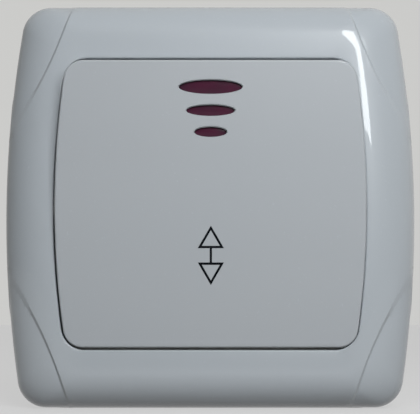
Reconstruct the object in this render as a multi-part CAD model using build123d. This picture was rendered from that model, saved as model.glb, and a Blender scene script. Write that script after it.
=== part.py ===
from build123d import *
import math
import os

# A flush two-way rocker switch for a 60 mm wall box, in millimetres.
# It is drawn lying on its back: u to the right, v up the wall, and w out of the wall from its face at w = 0.
# Each piece is turned upright as it is written, so that u, v and w become +X, +Z and -Y.

# Cover frame
FRAME_HALF_U = 42.0
FRAME_HALF_V = 41.35
FRAME_SIDE_R = 237.0
FRAME_CORNER_R = 6.0
FRAME_WALL = 2.0
SKIRT_HEIGHT = 2.2
CROWN_RISE = 7.0
CROWN_RUN_U = 9.5
CROWN_RUN_V = 7.2
CROWN_CORNER_R = 5.0
CROWN_SECTIONS = 7
CREASE_TOP_U = 27.8
CREASE_SIDE_V = 12.6
CREASE_SAG = 2.0
CREASE_STEP = 0.5
LIP_ROUND = 0.35
GUARD_WALL = 1.2
GUARD_BOTTOM = 4.0

# Key and its place in the frame
KEY_HALF_U = 31.05
KEY_HALF_V = 28.6
KEY_SIDE_R = 180.0
KEY_CORNER_R = 4.0
KEY_GAP_U = 0.45
KEY_GAP_V = 0.85
KEY_FACE = 11.2
KEY_CAP = 1.8
KEY_WALL = 1.5
KEY_SKIRT_BOTTOM = 5.0
KEY_ROUND = 0.4
KEY_RIB_U = 20.0
KEY_RIB_WALL = 1.2
KEY_RIB_DEPTH = 2.0
KEY_TILT = 4.0

# Indicator windows: half width, half height and centre above the middle of the key
WINDOWS = [(6.35, 1.4, 23.1), (4.85, 1.1, 18.4), (3.25, 1.0, 14.1)]
WINDOW_RECESS = 0.7
LENS_PLATE = 1.0
LENS_MARGIN = 1.4

# Cradle
PIVOT_W = 5.6
CRADLE_HALF_U = 13.4
CRADLE_HALF_V = 17.0
CRADLE_WALL = 1.8
CRADLE_CHEEK = 1.7
CRADLE_CHEEK_HALF_V = 2.4
CRADLE_LENS_GAP = 1.0
LAMP_NOTCH_HALF_U = 8.4
LAMP_NOTCH_V = 10.0
TRUNNION_R = 1.5
GUIDE_WALL = 1.25
GUIDE_BOTTOM = -4.0
HOOK_U = 10.3
HOOK_V = 12.0
HOOK_HALF_U = 1.2
HOOK_WALL = 1.4
HOOK_BARB = 0.5

# Plunger and spring
PLUNGER_R = 1.6
PLUNGER_REACH = 13.6
PLUNGER_LENGTH = 8.6
SPRING_TURNS = 6
SPRING_WIRE_R = 0.2
SPRING_END_GAP = 0.3

# Contact bridge, which rocks on the common strip
BRIDGE_TILT = 6.0
BRIDGE_HALF_V = 9.6
BRIDGE_HALF_U = 2.5
BRIDGE_WALL = 0.8
BRIDGE_BOSS_HALF_V = 2.0
BRIDGE_CREST = 1.55
KNIFE_R = 0.5
KNIFE_WALL = 1.0
TIP_R = 1.2
TIP_HEIGHT = 0.8
TIP_V = 8.4
TIP_GAP = 0.02
STRIP_WALL = 0.8
STRIP_HALF_U = 2.5
PAD_IN_V = 6.4
PAD_OUT_V = 10.8

# Housing
HOUSING_HALF_U = 18.0
HOUSING_HALF_V = 24.0
HOUSING_CORNER_R = 5.0
HOUSING_BACK = -19.6
HOUSING_FLOOR = 1.5
NECK_HALF_U = 15.8
NECK_HALF_V = 21.8
NECK_CORNER_R = 3.0
WAIST_HALF_V = 7.5
CHAMBER_HALF_U = 11.1
CHAMBER_HALF_V = 13.4

# Housing cover
COVER_WALL = 2.2
EAR_WALL = 2.4
EAR_SIDE_GAP = 0.2
EAR_HALF_V = 3.2
SWING_HALF_U = 3.6
SWING_HALF_V = 4.2
COVER_SCREW_U = 13.5
COVER_SCREW_V = 15.0
COVER_SCREW_R = 1.1
COVER_SCREW_HEAD_R = 2.0
COVER_SCREW_HEAD = 1.2
COVER_SCREW_END = -8.0

# Terminal clamps and their screws
CLAMP_U = 8.0
CLAMP_HALF_U = 3.0
CLAMP_IN_V = 14.5
CLAMP_OUT_V = 20.5
CLAMP_TOP = -10.0
CLAMP_BOTTOM = -18.0
WIRE_R = 1.45
WIRE_V = 16.6
WIRE_DEPTH = 6.5
CLAMP_SCREW_W = -15.0
CLAMP_SCREW_R = 1.5
CLAMP_SCREW_TRAVEL = 1.6
CLAMP_POINT = 0.5
CLAMP_POINT_PLAY = 0.25
CLAMP_HEAD_R = 2.5
CLAMP_HEAD = 1.4
CLAMP_HEAD_WINDOW_R = 2.8

# Mounting plate
PLATE_HALF = 35.5
PLATE_WALL = 1.2
PLATE_CORNER_R = 4.0
BOX_SCREW_SPACING = 60.0
BOX_SLOT_LENGTH = 7.0
BOX_SLOT_R = 1.8
LATCH_U = 12.0
LATCH_HALF_U = 3.5
LATCH_TOP = 6.0
LATCH_WINDOW_HALF_U = 2.1
LATCH_WINDOW_LOW = 2.8
LATCH_WINDOW_HIGH = 4.6
CATCH_WALL = 1.6

# Spreading claws
CLAW_PIVOT_U = 18.0
CLAW_PIVOT_W = -3.0
CLAW_HALF_V = 5.0
CLAW_WALL = 1.2
CLAW_EYE_R = 1.9
CLAW_PIN_R = 1.0
CLAW_SWING = 26.0
CLAW_LEVER = 4.5
CLAW_FLANGE = 7.4
CLAW_ARM = 17.0
CLAW_FOOT = 5.4
CLAW_SLOT_LENGTH = 4.2
CLAW_WINDOW_HALF_V = 2.3
CLAW_WINDOW_TOP = 2.6
CLAW_WINDOW_BOTTOM = 9.8
CLAW_TOOTH_HALF_V = 1.1
CLAW_EAR_WALL = 1.0
CLAW_EAR_R = 2.0
CLAW_SIDE_GAP = 0.2
CLAW_SCREW_R = 1.5
CLAW_SCREW_END = -9.9
CLAW_SCREW_HEAD_R = 2.2
CLAW_SCREW_HEAD = 1.6
CLAW_NUT_R = 2.2
CLAW_NUT_HALF_V = 4.0

# Indicator lamp and its tray
LAMP_V = 17.5
LAMP_W = 4.3
LAMP_R = 2.3
LAMP_GLASS = 0.5
LAMP_LEFT = -7.0
LAMP_RIGHT = 3.0
ELECTRODE_R = 0.35
ELECTRODE_OFFSET = 0.7
ELECTRODE_END_GAP = 1.2
LEAD_R = 0.3
LEAD_U = 8.4
LEAD_BEND_R = 0.9
RESISTOR_R = 1.0
RESISTOR_LEFT = 4.0
RESISTOR_RIGHT = 6.8
TRAY_HALF_U = 10.0
TRAY_HALF_V = 3.0
TRAY_TOP = 4.4

# Clearances, driver slots, and how far a cut runs past the face that it opens
RUN = 0.05
SEAT = 0.1
SLOT_CUT = 0.8
SLOT_DEPTH = 0.7
PAST = 1.0

FRAME_TOP = SKIRT_HEIGHT + CROWN_RISE
OPENING_HALF_U = KEY_HALF_U + KEY_GAP_U
OPENING_HALF_V = KEY_HALF_V + KEY_GAP_V
OPENING_SIDE_R = KEY_SIDE_R + KEY_GAP_U
OPENING_CORNER_R = KEY_CORNER_R + KEY_GAP_V
KEY_UNDER = KEY_FACE - KEY_CAP
CRADLE_TOP = KEY_UNDER - CRADLE_LENS_GAP
CRADLE_UNDER = CRADLE_TOP - CRADLE_WALL
COVER_TOP = PLATE_WALL + COVER_WALL
GUIDE_R = PLUNGER_R + RUN
PLUNGER_TIP_W = PIVOT_W - PLUNGER_REACH
BRIDGE_TOP = PLUNGER_TIP_W - RUN
KNIFE_W = BRIDGE_TOP - BRIDGE_CREST
ARM_UNDER = BRIDGE_TOP - BRIDGE_WALL
TIP_FACE = ARM_UNDER - TIP_HEIGHT
PAD_TOP = TIP_FACE - TIP_GAP - TIP_HEIGHT
PAD_DROP = (KNIFE_W - PAD_TOP + STRIP_WALL) * math.cos(math.radians(BRIDGE_TILT))
PAD_LOW = KNIFE_W - PAD_DROP - PAD_OUT_V * math.sin(math.radians(BRIDGE_TILT))
BENCH_TOP = PAD_LOW - STRIP_WALL / 2
FLOOR_TOP = HOUSING_BACK + HOUSING_FLOOR
CLAW_SCREW_U = CLAW_PIVOT_U + CLAW_LEVER
CLAW_REST = -CLAW_SWING / 2
NUT_DROP = (CLAW_WALL / 2 + CLAW_NUT_R + RUN) / math.cos(math.radians(CLAW_REST))
NUT_W = CLAW_PIVOT_W + CLAW_LEVER * math.tan(math.radians(CLAW_REST)) - NUT_DROP
NUT_TRAVEL = 2 * CLAW_LEVER * math.tan(math.radians(CLAW_SWING / 2))
SIDES = {"left": -1, "right": 1}


def block(u, v, w):
    """A box between the two limits given for each direction."""
    limits = (u, v, w)
    middle = [(low + high) / 2 for low, high in limits]
    return Pos(*middle) * Box(*(high - low for low, high in limits))


def rod(start, end, radius):
    """A round bar from one point to another."""
    along = Vector(*end) - Vector(*start)
    base = Plane(origin=start, z_dir=along)
    return base * Cylinder(radius, along.length, align=(Align.CENTER, Align.CENTER, Align.MIN))


def slab(half_u, half_v, corner_r, low, high):
    """A plate with rounded corners between two heights."""
    return extrude(Pos(0, 0, low) * RectangleRounded(2 * half_u, 2 * half_v, corner_r), high - low)


def union(pieces):
    """One shape from several that touch or overlap."""
    pieces = list(pieces)
    whole = pieces[0]
    for piece in pieces[1:]:
        whole = whole + piece
    return whole


def barrel(half_u, half_v, side_r, corner_r):
    """A face with bowed left and right sides, straight top and bottom, and round corners."""
    side_centre = half_u - side_r
    corner_v = half_v - corner_r
    corner_u = side_centre + math.sqrt((side_r - corner_r) ** 2 - corner_v**2)
    reach = side_r / (side_r - corner_r)
    touch_u = side_centre + (corner_u - side_centre) * reach
    touch_v = corner_v * reach
    halfway = (math.pi / 2 + math.atan2(corner_v, corner_u - side_centre)) / 2
    mid_u = corner_u + corner_r * math.cos(halfway)
    mid_v = corner_v + corner_r * math.sin(halfway)
    edges = [
        ThreePointArc((touch_u, -touch_v), (half_u, 0), (touch_u, touch_v)),
        ThreePointArc((touch_u, touch_v), (mid_u, mid_v), (corner_u, half_v)),
        Line((corner_u, half_v), (-corner_u, half_v)),
        ThreePointArc((-corner_u, half_v), (-mid_u, mid_v), (-touch_u, touch_v)),
        ThreePointArc((-touch_u, touch_v), (-half_u, 0), (-touch_u, -touch_v)),
        ThreePointArc((-touch_u, -touch_v), (-mid_u, -mid_v), (-corner_u, -half_v)),
        Line((-corner_u, -half_v), (corner_u, -half_v)),
        ThreePointArc((corner_u, -half_v), (mid_u, -mid_v), (touch_u, -touch_v)),
    ]
    return Face(Wire(edges))


def barrel_prism(half_u, half_v, side_r, corner_r, low, high):
    """A straight-walled block with the barrel outline."""
    return extrude(Pos(0, 0, low) * barrel(half_u, half_v, side_r, corner_r), high - low)


def crown(inset, rise):
    """The frame's domed block: an upright skirt, then a quarter ellipse that flattens towards the key."""
    half_u = FRAME_HALF_U - inset
    half_v = FRAME_HALF_V - inset
    corner_r = FRAME_CORNER_R - inset / 2
    skirt = barrel_prism(half_u, half_v, FRAME_SIDE_R, corner_r, 0, SKIRT_HEIGHT)
    sections = []
    for index in range(CROWN_SECTIONS):
        share = index / (CROWN_SECTIONS - 1)
        angle = share * math.pi / 2
        shrink = 1 - math.cos(angle)
        outline = barrel(
            half_u - CROWN_RUN_U * shrink,
            half_v - CROWN_RUN_V * shrink,
            FRAME_SIDE_R + (KEY_SIDE_R - FRAME_SIDE_R) * shrink,
            corner_r + (CROWN_CORNER_R - FRAME_CORNER_R) * shrink,
        )
        sections.append(Pos(0, 0, SKIRT_HEIGHT + rise * math.sin(angle)) * outline)
    return skirt + loft(sections)


def corner_leaves():
    """Four blocks that stand over the frame's corners, outside the bowed crease lines."""
    far_u = FRAME_HALF_U + PAST
    far_v = FRAME_HALF_V + PAST
    slope = (FRAME_HALF_V - CREASE_SIDE_V) / (FRAME_HALF_U - CREASE_TOP_U)
    top = Vector(CREASE_TOP_U - PAST / slope, far_v)
    side = Vector(far_u, CREASE_SIDE_V - PAST * slope)
    chord = side - top
    inward = Vector(chord.Y, -chord.X).normalized()
    bow = (top + side) / 2 + inward * CREASE_SAG
    crease = ThreePointArc(top, bow, side)
    closing = Polyline([side, (far_u, far_v), top])
    leaf = extrude(Face(Wire([crease, *closing.edges()])), FRAME_TOP + PAST)
    right = leaf + mirror(leaf, Plane.XZ)
    return right + mirror(right, Plane.YZ)


def cover_frame():
    """The glossy outer frame, with the corner leaves one crease step lower, a guard wall and four catches."""
    leaves = corner_leaves()
    high = crown(0, CROWN_RISE) - leaves
    low = crown(0, CROWN_RISE - CREASE_STEP) & leaves
    shell = high + low - crown(FRAME_WALL, CROWN_RISE - FRAME_WALL)
    guard = barrel_prism(
        OPENING_HALF_U + GUARD_WALL,
        OPENING_HALF_V + GUARD_WALL,
        OPENING_SIDE_R + GUARD_WALL,
        OPENING_CORNER_R + GUARD_WALL,
        GUARD_BOTTOM,
        FRAME_TOP - FRAME_WALL / 2,
    )
    opening = barrel_prism(
        OPENING_HALF_U, OPENING_HALF_V, OPENING_SIDE_R, OPENING_CORNER_R, -PAST, FRAME_TOP + PAST
    )
    shell = shell + guard - opening
    lip = shell.edges().filter_by_position(Axis.Z, FRAME_TOP - RUN, FRAME_TOP + RUN)
    inner_lip = [edge for edge in lip if abs(edge.center().X) <= OPENING_HALF_U + RUN]
    inner_lip = [edge for edge in inner_lip if abs(edge.center().Y) <= OPENING_HALF_V + RUN]
    shell = fillet(inner_lip, LIP_ROUND)
    return union([shell, *catches()])


def catches():
    """Posts rooted half way into the frame's wall, whose barbs snap into the windows of the plate's ears."""
    roof = crown(FRAME_WALL / 2, CROWN_RISE - FRAME_WALL / 2)
    inner_v = PLATE_HALF + SEAT
    low = LATCH_WINDOW_LOW + SEAT
    half_u = LATCH_WINDOW_HALF_U - SEAT
    made = []
    for side_v in (-1, 1):
        for side_u in (-1, 1):
            middle = side_u * LATCH_U
            across = (middle - half_u, middle + half_u)
            post_v = sorted((side_v * inner_v, side_v * (inner_v + CATCH_WALL)))
            barb_v = sorted((side_v * (inner_v - PLATE_WALL), side_v * inner_v))
            post = block(across, post_v, (low, FRAME_TOP)) & roof
            barb = block(across, barb_v, (low, LATCH_WINDOW_HIGH - SEAT))
            made.append(post + barb)
    return made


def oval_bars(grow, low, high):
    """Three oval bars in the places of the indicator windows."""
    bars = []
    for half_u, half_v, centre in WINDOWS:
        oval = Pos(0, centre, low) * Ellipse(half_u + grow, half_v + grow)
        bars.append(extrude(oval, high - low))
    return bars


def rocker_key():
    """The wide key: a cap with three oval windows, a skirt, two ribs and four hooks for the cradle."""
    cap = barrel_prism(KEY_HALF_U, KEY_HALF_V, KEY_SIDE_R, KEY_CORNER_R, KEY_SKIRT_BOTTOM, KEY_FACE)
    rim = cap.edges().filter_by_position(Axis.Z, KEY_FACE - RUN, KEY_FACE + RUN)
    cap = fillet(rim, KEY_ROUND)
    hollow = barrel_prism(
        KEY_HALF_U - KEY_WALL,
        KEY_HALF_V - KEY_WALL,
        KEY_SIDE_R - KEY_WALL,
        KEY_CORNER_R - KEY_WALL,
        KEY_SKIRT_BOTTOM - PAST,
        KEY_UNDER,
    )
    key = cap - hollow
    rib_reach = KEY_HALF_V - KEY_WALL / 2
    for side in (-1, 1):
        middle = side * KEY_RIB_U
        across = (middle - KEY_RIB_WALL / 2, middle + KEY_RIB_WALL / 2)
        key = key + block(across, (-rib_reach, rib_reach), (KEY_UNDER - KEY_RIB_DEPTH, KEY_UNDER))
    key = union([key, *hooks()])
    for bar in oval_bars(RUN, KEY_UNDER - PAST, KEY_FACE + PAST):
        key = key - bar
    return key


def hooks():
    """Four legs that pass through the cradle and catch under it."""
    made = []
    for side_u in (-1, 1):
        for side_v in (-1, 1):
            leg_u = (side_u * HOOK_U - HOOK_HALF_U, side_u * HOOK_U + HOOK_HALF_U)
            leg_v = (side_v * HOOK_V - HOOK_WALL / 2, side_v * HOOK_V + HOOK_WALL / 2)
            foot = (CRADLE_UNDER - HOOK_BARB - SEAT, CRADLE_UNDER - SEAT)
            leg = block(leg_u, leg_v, (foot[0], KEY_UNDER))
            face = side_v * (HOOK_V + HOOK_WALL / 2)
            barb_v = sorted((face, face + side_v * HOOK_BARB))
            made.append(leg + block(leg_u, barb_v, foot))
    return made


def indicator_lens():
    """The smoky red insert: a plate under the key with an oval boss in each window."""
    half_u = max(window[0] for window in WINDOWS) + LENS_MARGIN
    low_v = min(centre - half_v for _, half_v, centre in WINDOWS) - LENS_MARGIN
    high_v = max(centre + half_v for _, half_v, centre in WINDOWS) + LENS_MARGIN
    plate = block((-half_u, half_u), (low_v, high_v), (KEY_UNDER - LENS_PLATE, KEY_UNDER))
    return union([plate, *oval_bars(0, KEY_UNDER - LENS_PLATE / 2, KEY_FACE - WINDOW_RECESS)])


def cradle():
    """The carrier under the key, with trunnions at the sides and a guide tube for the plunger."""
    plate = block(
        (-CRADLE_HALF_U, CRADLE_HALF_U), (-CRADLE_HALF_V, CRADLE_HALF_V), (CRADLE_UNDER, CRADLE_TOP)
    )
    notch = block(
        (-LAMP_NOTCH_HALF_U, LAMP_NOTCH_HALF_U),
        (LAMP_NOTCH_V, CRADLE_HALF_V + PAST),
        (CRADLE_UNDER - PAST, CRADLE_TOP + PAST),
    )
    shape = plate - notch + rod((0, 0, GUIDE_BOTTOM), (0, 0, CRADLE_TOP), GUIDE_R + GUIDE_WALL)
    trunnion_end = CRADLE_HALF_U + EAR_SIDE_GAP + EAR_WALL
    for side in (-1, 1):
        cheek_u = sorted((side * (CRADLE_HALF_U - CRADLE_CHEEK), side * CRADLE_HALF_U))
        cheek_v = (-CRADLE_CHEEK_HALF_V, CRADLE_CHEEK_HALF_V)
        shape = shape + block(cheek_u, cheek_v, (PIVOT_W - TRUNNION_R, CRADLE_TOP))
        root = side * (CRADLE_HALF_U - CRADLE_CHEEK / 2)
        shape = shape + rod((root, 0, PIVOT_W), (side * trunnion_end, 0, PIVOT_W), TRUNNION_R)
    shape = shape - rod((0, 0, GUIDE_BOTTOM - PAST), (0, 0, CRADLE_TOP - CRADLE_WALL / 2), GUIDE_R)
    for side_u in (-1, 1):
        for side_v in (-1, 1):
            hole = Pos(side_u * HOOK_U, side_v * HOOK_V, CRADLE_UNDER) * Box(
                2 * (HOOK_HALF_U + SEAT), HOOK_WALL + 2 * SEAT, 2 * CRADLE_WALL + RUN
            )
            shape = shape - hole
    return shape


def plunger():
    """The round-nosed pin that presses on the bridge."""
    top = PLUNGER_TIP_W + PLUNGER_LENGTH
    nose = PLUNGER_TIP_W + PLUNGER_R
    return rod((0, 0, nose), (0, 0, top), PLUNGER_R) + Pos(0, 0, nose) * Sphere(PLUNGER_R)


def plunger_spring():
    """The coil spring between the plunger and the top of its guide."""
    low = PLUNGER_TIP_W + PLUNGER_LENGTH + SPRING_END_GAP
    high = CRADLE_TOP - CRADLE_WALL / 2 - SPRING_END_GAP
    coil_r = GUIDE_R - SPRING_WIRE_R - SEAT
    path = Pos(0, 0, low) * Helix(pitch=(high - low) / SPRING_TURNS, height=high - low, radius=coil_r)
    section = Plane(origin=path @ 0, z_dir=path % 0) * Circle(SPRING_WIRE_R)
    return sweep(section, path=path)


def contact_bridge():
    """The seesaw with a round groove that rides the knife edge and a hole for each tip's rivet."""
    arms = block((-BRIDGE_HALF_U, BRIDGE_HALF_U), (-BRIDGE_HALF_V, BRIDGE_HALF_V), (ARM_UNDER, BRIDGE_TOP))
    boss = block(
        (-BRIDGE_HALF_U, BRIDGE_HALF_U), (-BRIDGE_BOSS_HALF_V, BRIDGE_BOSS_HALF_V), (KNIFE_W, BRIDGE_TOP)
    )
    reach = BRIDGE_HALF_U + PAST
    groove = rod((-reach, 0, KNIFE_W), (reach, 0, KNIFE_W), KNIFE_R + RUN)
    return arms + boss - groove


def bridge_tips():
    """The two silver tips under the bridge."""
    return [rod((0, side * TIP_V, TIP_FACE), (0, side * TIP_V, ARM_UNDER), TIP_R) for side in (-1, 1)]


def rocked(shape, direction):
    """Turn a shape about the knife edge by the bridge's tilt: 1 lowers its upper end, -1 its lower end."""
    return shape.rotate(Axis((0, 0, KNIFE_W), (1, 0, 0)), -direction * BRIDGE_TILT)


def fixed_tips():
    """The two fixed silver tips, lying as the bridge's tips lie when they close."""
    made = []
    for side in (1, -1):
        tip = rod((0, side * TIP_V, PAD_TOP), (0, side * TIP_V, PAD_TOP + TIP_HEIGHT), TIP_R)
        made.append(rocked(tip, side))
    return made


def throw_strip(side):
    """The strip of one throw: a sloped pad under its tip, then a flat run to the clamp at the left."""
    pad_v = sorted((side * PAD_IN_V, side * PAD_OUT_V))
    pad = rocked(block((-STRIP_HALF_U, STRIP_HALF_U), pad_v, (PAD_TOP - STRIP_WALL, PAD_TOP)), side)
    flat = (BENCH_TOP, BENCH_TOP + STRIP_WALL)
    foot_v = sorted((side * (PAD_IN_V + STRIP_WALL), side * (PAD_OUT_V + STRIP_WALL)))
    foot = block((-CLAMP_U - STRIP_HALF_U, STRIP_HALF_U), foot_v, flat)
    run_v = sorted((side * PAD_OUT_V, side * CLAMP_IN_V))
    run = block((-CLAMP_U - STRIP_HALF_U, -CLAMP_U + STRIP_HALF_U), run_v, flat)
    return pad + foot + run


def common_strip():
    """The strip under the bridge, with the knife edge, running to the lower clamp at the right."""
    flat = (BENCH_TOP, BENCH_TOP + STRIP_WALL)
    half_v = STRIP_HALF_U / 2
    base = block((-STRIP_HALF_U, CLAMP_U + STRIP_HALF_U), (-half_v, half_v), flat)
    run = block((CLAMP_U - STRIP_HALF_U, CLAMP_U + STRIP_HALF_U), (-CLAMP_IN_V, half_v), flat)
    web = block((-STRIP_HALF_U, STRIP_HALF_U), (-KNIFE_WALL / 2, KNIFE_WALL / 2), (BENCH_TOP, KNIFE_W))
    edge = rod((-STRIP_HALF_U, 0, KNIFE_W), (STRIP_HALF_U, 0, KNIFE_W), KNIFE_R)
    return base + run + web + edge


def clamp_places():
    """The side of each named terminal: right or left, then top or bottom."""
    return {"upper_throw": (-1, 1), "lamp": (1, 1), "lower_throw": (-1, -1), "common": (1, -1)}


def terminal_clamp(side_u, side_v):
    """A brass block with a wire hole from behind and a screw hole from its outer end."""
    middle = side_u * CLAMP_U
    across = (middle - CLAMP_HALF_U, middle + CLAMP_HALF_U)
    along = sorted((side_v * CLAMP_IN_V, side_v * CLAMP_OUT_V))
    shape = block(across, along, (CLAMP_BOTTOM, CLAMP_TOP))
    wire = side_v * WIRE_V
    low = CLAMP_BOTTOM - PAST
    shape = shape - rod((middle, wire, low), (middle, wire, CLAMP_BOTTOM + WIRE_DEPTH), WIRE_R)
    outside = side_v * (CLAMP_OUT_V + PAST)
    return shape - rod((middle, wire, CLAMP_SCREW_W), (middle, outside, CLAMP_SCREW_W), CLAMP_SCREW_R + RUN)


def terminal_screw(side_u, side_v):
    """A clamp's screw, backed out by its travel: a thin point that fits into the wire hole, and a slotted head."""
    middle = side_u * CLAMP_U
    tip = side_v * (WIRE_V + WIRE_R)
    shoulder = tip + side_v * CLAMP_POINT
    seat = side_v * (CLAMP_OUT_V + CLAMP_SCREW_TRAVEL + SEAT)
    face = seat + side_v * CLAMP_HEAD
    shape = rod((middle, shoulder, CLAMP_SCREW_W), (middle, seat, CLAMP_SCREW_W), CLAMP_SCREW_R)
    shape = shape + rod(
        (middle, tip, CLAMP_SCREW_W), (middle, shoulder, CLAMP_SCREW_W), WIRE_R - CLAMP_POINT_PLAY
    )
    shape = shape + rod((middle, seat, CLAMP_SCREW_W), (middle, face, CLAMP_SCREW_W), CLAMP_HEAD_R)
    slot = Pos(middle, face, CLAMP_SCREW_W) * Box(2 * (CLAMP_HEAD_R + PAST), 2 * SLOT_DEPTH, SLOT_CUT)
    return shape - slot


def housing():
    """The moulded box behind the plate: a waist for the claws, a chamber, benches and open clamp pockets."""
    shape = slab(HOUSING_HALF_U, HOUSING_HALF_V, HOUSING_CORNER_R, HOUSING_BACK, 0)
    for side in (-1, 1):
        waist = sorted((side * NECK_HALF_U, side * (HOUSING_HALF_U + PAST)))
        shape = shape - block(waist, (-WAIST_HALF_V, WAIST_HALF_V), (HOUSING_BACK - PAST, PAST))
    shape = shape + slab(NECK_HALF_U, NECK_HALF_V, NECK_CORNER_R, HOUSING_BACK, PLATE_WALL)
    chamber = block(
        (-CHAMBER_HALF_U, CHAMBER_HALF_U), (-CHAMBER_HALF_V, CHAMBER_HALF_V), (FLOOR_TOP, PLATE_WALL + PAST)
    )
    shape = shape - chamber
    for side_u, side_v in clamp_places().values():
        shape = shape - clamp_pocket(side_u, side_v)
    for bench in benches():
        shape = shape + bench
    for side_u in (-1, 1):
        for side_v in (-1, 1):
            place = (side_u * COVER_SCREW_U, side_v * COVER_SCREW_V)
            shape = shape - rod((*place, COVER_SCREW_END), (*place, PLATE_WALL + PAST), COVER_SCREW_R)
    return shape


def clamp_pocket(side_u, side_v):
    """The room for one clamp and its strip, open at the back, with a window for the screw's head."""
    middle = side_u * CLAMP_U
    half_u = CLAMP_HALF_U + SEAT
    across = (middle - half_u, middle + half_u)
    along = sorted((side_v * (CHAMBER_HALF_V - PAST), side_v * (CLAMP_OUT_V + SEAT)))
    lower = sorted((side_v * (CLAMP_IN_V - SEAT), side_v * (CLAMP_OUT_V + SEAT)))
    room = block(across, along, (BENCH_TOP, PLATE_WALL + PAST))
    room = room + block(across, lower, (HOUSING_BACK - PAST, PLATE_WALL + PAST))
    head = rod(
        (middle, side_v * CLAMP_OUT_V, CLAMP_SCREW_W),
        (middle, side_v * (HOUSING_HALF_V + PAST), CLAMP_SCREW_W),
        CLAMP_HEAD_WINDOW_R,
    )
    return room + head


def benches():
    """Ribs on the chamber floor that carry the strips."""
    across = (-CHAMBER_HALF_U - HOUSING_FLOOR / 2, CHAMBER_HALF_U + HOUSING_FLOOR / 2)
    height = (FLOOR_TOP - HOUSING_FLOOR / 2, BENCH_TOP)
    half_v = STRIP_HALF_U / 2
    made = [block(across, (-half_v, half_v), height)]
    for side in (-1, 1):
        foot = sorted((side * (PAD_IN_V + STRIP_WALL), side * (PAD_OUT_V + STRIP_WALL)))
        made.append(block(across, foot, height))
    return made


def housing_cover():
    """The lid over the plate, with a bearing ear each side and openings for the guide tube and lamp."""
    shape = slab(HOUSING_HALF_U, HOUSING_HALF_V, HOUSING_CORNER_R, PLATE_WALL, COVER_TOP)
    ear_low = CRADLE_HALF_U + EAR_SIDE_GAP
    crest = PIVOT_W + TRUNNION_R + EAR_WALL / 2
    for side in (-1, 1):
        ear_u = sorted((side * ear_low, side * (ear_low + EAR_WALL)))
        shape = shape + block(ear_u, (-EAR_HALF_V, EAR_HALF_V), (PLATE_WALL, crest))
    across = ear_low + EAR_WALL + PAST
    shape = shape - rod((-across, 0, PIVOT_W), (across, 0, PIVOT_W), TRUNNION_R + RUN)
    through = (PLATE_WALL - PAST, COVER_TOP + PAST)
    swing = block((-SWING_HALF_U, SWING_HALF_U), (-SWING_HALF_V, SWING_HALF_V), through)
    lamp_room = block(
        (-TRAY_HALF_U - SEAT, TRAY_HALF_U + SEAT),
        (LAMP_V - TRAY_HALF_V - SEAT, LAMP_V + TRAY_HALF_V + SEAT),
        through,
    )
    shape = shape - swing - lamp_room
    for side_u in (-1, 1):
        for side_v in (-1, 1):
            place = (side_u * COVER_SCREW_U, side_v * COVER_SCREW_V)
            head_low = COVER_TOP - COVER_SCREW_HEAD
            shape = shape - rod((*place, through[0]), (*place, through[1]), COVER_SCREW_R + SEAT)
            shape = shape - rod((*place, head_low), (*place, through[1]), COVER_SCREW_HEAD_R + SEAT)
    return shape


def cover_screws():
    """Four screws that hold the cover and the housing together with the plate between them."""
    made = []
    head_low = COVER_TOP - COVER_SCREW_HEAD
    for side_u in (-1, 1):
        for side_v in (-1, 1):
            place = (side_u * COVER_SCREW_U, side_v * COVER_SCREW_V)
            screw = rod((*place, COVER_SCREW_END), (*place, COVER_TOP), COVER_SCREW_R)
            screw = screw + rod((*place, head_low), (*place, COVER_TOP), COVER_SCREW_HEAD_R)
            slot = Pos(*place, COVER_TOP) * Box(2 * (COVER_SCREW_HEAD_R + PAST), SLOT_CUT, 2 * SLOT_DEPTH)
            made.append(screw - slot)
    return made


def mounting_plate():
    """The steel plate against the wall: housing window, box screw slots, frame ears and claw ears."""
    shape = slab(PLATE_HALF, PLATE_HALF, PLATE_CORNER_R, 0, PLATE_WALL)
    low = -PAST
    high = PLATE_WALL + PAST
    shape = shape - slab(NECK_HALF_U + SEAT, NECK_HALF_V + SEAT, NECK_CORNER_R + SEAT, low, high)
    for side in (-1, 1):
        slot = Pos(side * BOX_SCREW_SPACING / 2, 0, low) * SlotOverall(BOX_SLOT_LENGTH, 2 * BOX_SLOT_R)
        shape = shape - extrude(slot, high - low)
        screw = (side * CLAW_SCREW_U, 0)
        shape = shape - rod((*screw, low), (*screw, high), CLAW_SCREW_R + SEAT)
        shape = union([shape, *claw_ears(side)])
    return union([shape, *latch_ears()])


def latch_ears():
    """Four ears bent up at the plate's top and bottom edges, each with a window for a catch."""
    made = []
    for side_v in (-1, 1):
        for side_u in (-1, 1):
            middle = side_u * LATCH_U
            along = sorted((side_v * (PLATE_HALF - PLATE_WALL), side_v * PLATE_HALF))
            ear = block((middle - LATCH_HALF_U, middle + LATCH_HALF_U), along, (0, LATCH_TOP))
            window_u = (middle - LATCH_WINDOW_HALF_U, middle + LATCH_WINDOW_HALF_U)
            window_v = sorted((side_v * (PLATE_HALF - PLATE_WALL - PAST), side_v * (PLATE_HALF + PAST)))
            made.append(ear - block(window_u, window_v, (LATCH_WINDOW_LOW, LATCH_WINDOW_HIGH)))
    return made


def claw_ears(side):
    """Two ears bent down behind the plate that hold one claw's pivot pin."""
    made = []
    pivot = side * CLAW_PIVOT_U
    for side_v in (-1, 1):
        low = CLAW_HALF_V + CLAW_SIDE_GAP
        along = sorted((side_v * low, side_v * (low + CLAW_EAR_WALL)))
        strap = block(
            (pivot - CLAW_EAR_R, pivot + CLAW_EAR_R), along, (CLAW_PIVOT_W, PLATE_WALL / 2)
        )
        ear = strap + rod((pivot, along[0], CLAW_PIVOT_W), (pivot, along[1], CLAW_PIVOT_W), CLAW_EAR_R)
        made.append(ear - rod((pivot, along[0], CLAW_PIVOT_W), (pivot, along[1], CLAW_PIVOT_W), CLAW_PIN_R))
    return made


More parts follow.
